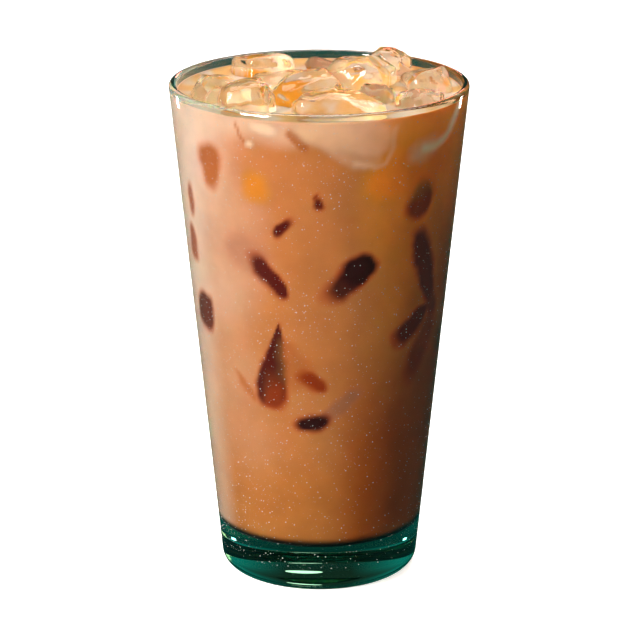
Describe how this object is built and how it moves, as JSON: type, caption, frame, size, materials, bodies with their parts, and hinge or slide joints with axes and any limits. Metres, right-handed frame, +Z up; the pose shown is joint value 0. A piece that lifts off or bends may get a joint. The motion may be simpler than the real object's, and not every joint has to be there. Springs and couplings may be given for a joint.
{
  "type": "iced latte",
  "caption": "Iced milk coffee in a tapered, thick-based clear mixing glass, filled nearly to the rim, with rounded ice cubes breaking the surface.",
  "frame": {"origin": "middle of the circle that the glass stands on", "axes": "+Z up the glass, -Y towards the side that is shown, +X to that view's right"},
  "size_m": [0.0888, 0.0888, 0.1568],
  "materials": {
    "glass": "clear soda-lime glass with a green cast in the thick base, wet with fine condensation outside",
    "latte": "milky coffee, smooth and wet",
    "ice": "clear melting ice, rounded and wet"
  },
  "bodies": {
    "root": {"glass": "glass", "latte": "latte", "ice_1": "ice", "ice_2": "ice", "ice_3": "ice", "ice_4": "ice", "ice_5": "ice", "ice_6": "ice", "ice_7": "ice", "ice_8": "ice", "ice_9": "ice", "ice_10": "ice", "ice_11": "ice", "ice_12": "ice", "ice_13": "ice"}
  },
  "joints": []
}
